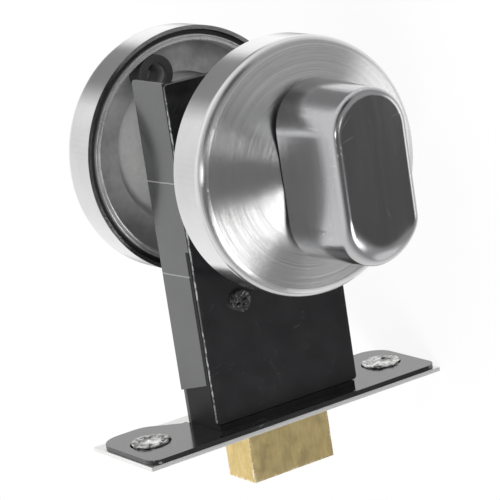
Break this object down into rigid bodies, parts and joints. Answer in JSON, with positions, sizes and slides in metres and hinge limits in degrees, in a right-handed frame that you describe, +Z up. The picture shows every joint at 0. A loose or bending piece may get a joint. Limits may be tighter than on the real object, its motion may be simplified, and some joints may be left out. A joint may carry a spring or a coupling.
{
  "type": "toilet cubicle lock",
  "caption": "Cubicle lock: slim mortice case with a brass bolt thrown by an oblong turn knob on a round rose, and an outside rose with coin release and red and green indicator.",
  "frame": {"origin": "the middle of the faceplate's outer face", "axes": "-X is the way the bolt throws, -Y points out of the door on the knob's side, +Z is up with the lock fitted in an upright door"},
  "size_m": [0.1018, 0.0818, 0.08],
  "materials": {
    "bright_plate": "brushed, satin",
    "black_steel": "black zinc plating, semi gloss",
    "grey_band": "grey coating, semi gloss, fine score lines",
    "black_cover": "black coating, semi gloss",
    "black_screw": "black zinc plating",
    "zinc_steel": "bright zinc plating",
    "spring_steel": "oiled spring steel",
    "bolt_brass": "dull brushed brass, nicked edges",
    "cast_zinc": "die cast, dull",
    "pale_nylon": "pale nylon",
    "knob_satin": "satin",
    "rose_satin": "brushed in circles, satin",
    "black_plastic": "black plastic",
    "disc_steel": "smooth steel",
    "flag_red": "red enamel",
    "flag_green": "green enamel",
    "window_clear": "clear plastic"
  },
  "bodies": {
    "lock": {"faceplate": "bright_plate", "case_base": "black_steel", "case_band": "grey_band", "bolt_guide": "black_steel", "case_cover": "black_cover", "cover_screws": "black_screw", "case_pillars": "zinc_steel", "spring_posts": "zinc_steel", "detent_spring": "spring_steel", "hub_bushes": "pale_nylon", "knob_bush": "black_plastic", "turn_rose_cap": "rose_satin", "turn_rose_liner": "black_plastic", "turn_rose_base": "cast_zinc", "indicator_rose_cap": "rose_satin", "indicator_rose_liner": "black_plastic", "indicator_rose_base": "cast_zinc", "fixing_ferrules": "black_plastic", "indicator_window": "window_clear"},
    "turn_set": {"hub": "cast_zinc", "crank_pin": "zinc_steel", "spindle": "zinc_steel", "spindle_pin": "zinc_steel", "turn_knob": "knob_satin", "knob_washer": "zinc_steel", "knob_circlip": "spring_steel", "release_turn": "rose_satin", "release_washer": "pale_nylon", "indicator_disc": "disc_steel", "engaged_flag": "flag_red", "vacant_flag": "flag_green"},
    "bolt_set": {"bolt_head": "bolt_brass", "bolt_tail": "zinc_steel", "bolt_rivets": "zinc_steel"}
  },
  "joints": [
    {"name": "knob_turn", "type": "hinge", "parent": "lock", "child": "turn_set", "pos_m": [0.0605, 0, 0], "axis": [0, 1, 0], "range_deg": [0, 90], "deforming": ["detent_spring"]},
    {"name": "bolt_slide", "type": "slide", "parent": "lock", "child": "bolt_set", "axis": [1, 0, 0], "range_m": [0, 0.013]}
  ],
  "couplings": [
    {"joint": "bolt_slide", "follows": "knob_turn", "m_per_rad": 0.008276}
  ]
}
